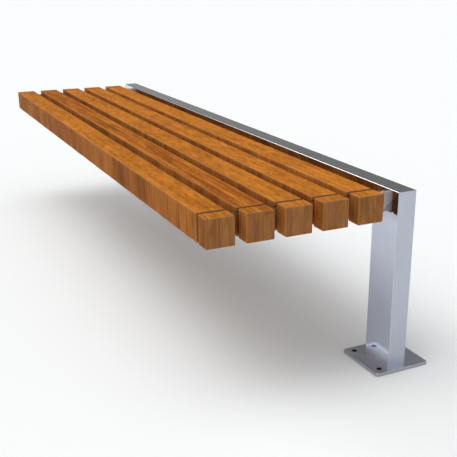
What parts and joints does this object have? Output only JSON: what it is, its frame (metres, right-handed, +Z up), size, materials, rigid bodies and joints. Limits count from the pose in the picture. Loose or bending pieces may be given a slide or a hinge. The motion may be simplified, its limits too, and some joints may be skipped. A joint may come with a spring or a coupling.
{
  "type": "backless bench",
  "caption": "Backless cantilever bench: square timber beams on steel end arms, held in front of a box-section steel frame with bolt-down base plates.",
  "frame": {"origin": "centre of the bench's footprint box on the ground", "axes": "+X along the seat towards its right end, -Y towards the open front edge of the seat, +Y towards the posts and rail, +Z up"},
  "size_m": [2.092, 0.574, 0.45],
  "materials": {
    "post_steel": "polished stainless steel, nearly mirror bright",
    "rail_steel": "polished stainless steel with a fine cross grain on its top face",
    "base_steel": "satin stainless steel",
    "arm_steel": "satin stainless steel flat bar",
    "fastener_steel": "plain stainless steel fasteners",
    "beam_timber": "planed and oiled hardwood, warm orange-brown",
    "block_timber": "planed and oiled hardwood, end grain on its outer face"
  },
  "bodies": {
    "root": {"base_plate_left": "base_steel", "base_plate_right": "base_steel", "post_left": "post_steel", "post_right": "post_steel", "top_rail": "rail_steel", "arm_left": "arm_steel", "arm_right": "arm_steel", "seat_beam_1": "beam_timber", "seat_beam_2": "beam_timber", "seat_beam_3": "beam_timber", "seat_beam_4": "beam_timber", "seat_beam_5": "beam_timber", "end_block_left_1": "block_timber", "end_block_left_2": "block_timber", "end_block_left_3": "block_timber", "end_block_left_4": "block_timber", "end_block_left_5": "block_timber", "end_block_right_1": "block_timber", "end_block_right_2": "block_timber", "end_block_right_3": "block_timber", "end_block_right_4": "block_timber", "end_block_right_5": "block_timber", "coach_screw_left_1": "fastener_steel", "coach_screw_left_2": "fastener_steel", "coach_screw_left_3": "fastener_steel", "coach_screw_left_4": "fastener_steel", "coach_screw_left_5": "fastener_steel", "coach_screw_right_1": "fastener_steel", "coach_screw_right_2": "fastener_steel", "coach_screw_right_3": "fastener_steel", "coach_screw_right_4": "fastener_steel", "coach_screw_right_5": "fastener_steel", "dowel_left_1_front": "fastener_steel", "dowel_left_1_back": "fastener_steel", "dowel_left_2_front": "fastener_steel", "dowel_left_2_back": "fastener_steel", "dowel_left_3_front": "fastener_steel", "dowel_left_3_back": "fastener_steel", "dowel_left_4_front": "fastener_steel", "dowel_left_4_back": "fastener_steel", "dowel_left_5_front": "fastener_steel", "dowel_left_5_back": "fastener_steel", "dowel_right_1_front": "fastener_steel", "dowel_right_1_back": "fastener_steel", "dowel_right_2_front": "fastener_steel", "dowel_right_2_back": "fastener_steel", "dowel_right_3_front": "fastener_steel", "dowel_right_3_back": "fastener_steel", "dowel_right_4_front": "fastener_steel", "dowel_right_4_back": "fastener_steel", "dowel_right_5_front": "fastener_steel", "dowel_right_5_back": "fastener_steel"}
  },
  "joints": []
}
